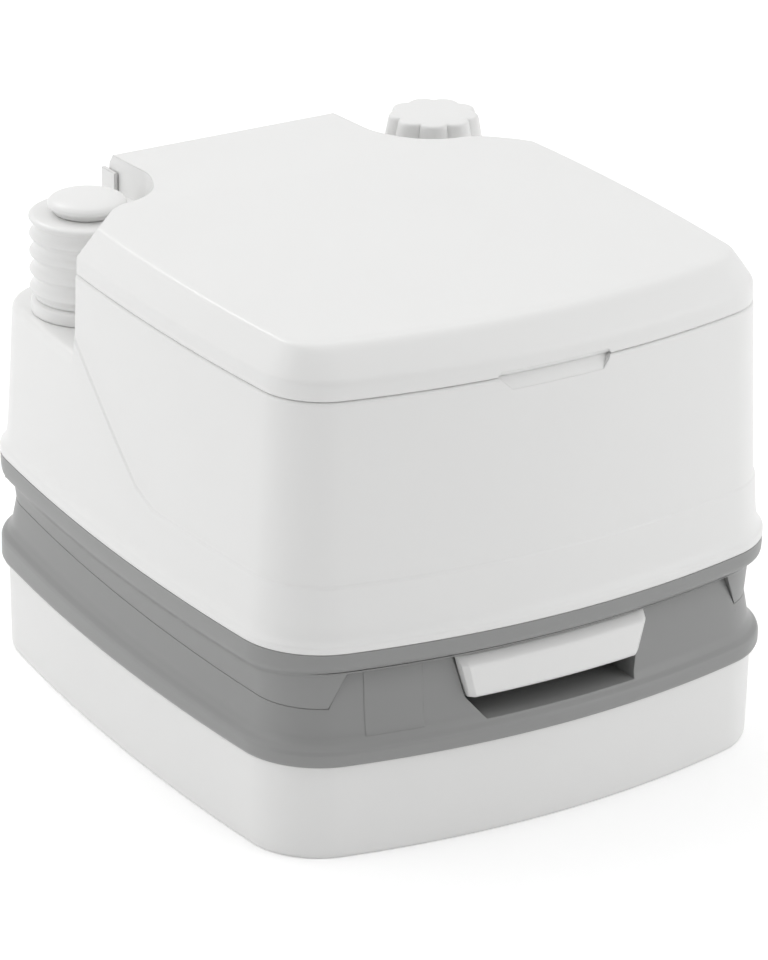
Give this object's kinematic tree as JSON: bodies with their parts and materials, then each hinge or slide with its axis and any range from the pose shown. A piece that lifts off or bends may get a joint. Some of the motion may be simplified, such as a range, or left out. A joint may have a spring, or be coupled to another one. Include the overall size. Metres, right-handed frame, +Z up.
{
  "type": "portable camp toilet",
  "caption": "Two-part portable toilet: waste holding section with sliding valve and pour spout, flush section above with bowl, bellows pump, filler cap, seat and lid.",
  "frame": {"origin": "on the floor, under the middle of the object's plan box", "axes": "+Z up, front with the valve handle towards -Y, +X to the right seen from the front"},
  "size_m": [0.3828, 0.427, 0.33],
  "materials": {
    "white_plastic": "satin moulded",
    "grey_plastic": "satin moulded",
    "dark_plastic": "fine grain",
    "rubber": "matt",
    "steel": "plain"
  },
  "bodies": {
    "waste_section": {"waste_tank_base": "white_plastic", "waste_tank_top": "grey_plastic", "valve_frame": "dark_plastic", "valve_lip_seal": "rubber", "valve_screw_1": "steel", "valve_screw_2": "steel", "valve_screw_3": "steel", "valve_screw_4": "steel", "vent_spring": "steel"},
    "valve_slide": {"valve_blade": "dark_plastic", "valve_handle": "white_plastic"},
    "vent_plunger": {"vent_button": "dark_plastic", "vent_seal": "rubber"},
    "spout": {"spout_elbow": "grey_plastic", "spout_seal": "rubber"},
    "spout_cap_carrier": {"spout_cap_seal": "rubber"},
    "spout_cap": {"spout_cap": "dark_plastic"},
    "flush_section": {"flush_tank_floor": "grey_plastic", "upper_shell": "white_plastic", "toilet_bowl": "white_plastic", "bowl_outlet_seal": "rubber", "flush_nozzle": "white_plastic", "flush_hose": "grey_plastic", "pump_body": "white_plastic", "pump_bellows": "white_plastic", "pump_check_ball": "steel", "suction_tube": "grey_plastic", "suction_strainer": "grey_plastic", "latch_stud": "steel", "latch_spring": "steel", "hinge_pin_left": "steel", "hinge_pin_right": "steel"},
    "pump_plunger": {"pump_button": "white_plastic"},
    "filler_cap_carrier": {"filler_cap_seal": "rubber"},
    "filler_cap": {"filler_cap": "white_plastic"},
    "latch": {"release_latch": "dark_plastic"},
    "seat": {"seat": "white_plastic", "seat_bumper_left": "rubber", "seat_bumper_right": "rubber"},
    "lid": {"lid": "white_plastic", "lid_bumper_left": "rubber", "lid_bumper_right": "rubber"}
  },
  "joints": [
    {"name": "section_lift", "type": "slide", "parent": "waste_section", "child": "flush_section", "axis": [0, 0, 1], "range_m": [0, 0.12]},
    {"name": "valve_pull", "type": "slide", "parent": "waste_section", "child": "valve_slide", "axis": [0, -1, 0], "range_m": [0, 0.108]},
    {"name": "vent_press", "type": "slide", "parent": "waste_section", "child": "vent_plunger", "axis": [0, 0, -1], "range_m": [0, 0.0045], "stiffness_N_per_m": 600, "springref_m": -0.001, "deforming": ["vent_spring"]},
    {"name": "spout_swing", "type": "hinge", "parent": "waste_section", "child": "spout", "pos_m": [0.095, 0.152, 0.095], "axis": [0, 0, -1], "range_deg": [0, 90]},
    {"name": "spout_cap_lift", "type": "slide", "parent": "spout", "child": "spout_cap_carrier", "axis": [-1, 0, 0], "range_m": [0, 0.018]},
    {"name": "spout_cap_turn", "type": "hinge", "parent": "spout_cap_carrier", "child": "spout_cap", "pos_m": [-0.035, 0.152, 0.095], "axis": [-1, 0, 0], "range_deg": [0, 720]},
    {"name": "pump_press", "type": "slide", "parent": "flush_section", "child": "pump_plunger", "axis": [0, 0, -1], "range_m": [0, 0.035], "stiffness_N_per_m": 300, "springref_m": -0.002, "deforming": ["pump_bellows"]},
    {"name": "filler_cap_lift", "type": "slide", "parent": "flush_section", "child": "filler_cap_carrier", "axis": [0, 0, 1], "range_m": [0, 0.018]},
    {"name": "filler_cap_turn", "type": "hinge", "parent": "filler_cap_carrier", "child": "filler_cap", "pos_m": [0.1303, 0.1434, 0.3], "axis": [0, 0, 1], "range_deg": [0, 540]},
    {"name": "latch_slide", "type": "slide", "parent": "flush_section", "child": "latch", "axis": [-1, 0, 0], "range_m": [0, 0.012], "stiffness_N_per_m": 400, "springref_m": -0.002},
    {"name": "seat_lift", "type": "hinge", "parent": "flush_section", "child": "seat", "pos_m": [0, 0.19, 0.306], "axis": [-1, 0, 0], "range_deg": [0, 95]},
    {"name": "lid_open", "type": "hinge", "parent": "seat", "child": "lid", "pos_m": [0, 0.19, 0.306], "axis": [1, 0, 0], "range_deg": [-105, 0]}
  ],
  "couplings": [
    {"joint": "spout_cap_turn", "follows": "spout_cap_lift", "rad_per_m": 698.13},
    {"joint": "filler_cap_turn", "follows": "filler_cap_lift", "rad_per_m": 523.59}
  ]
}
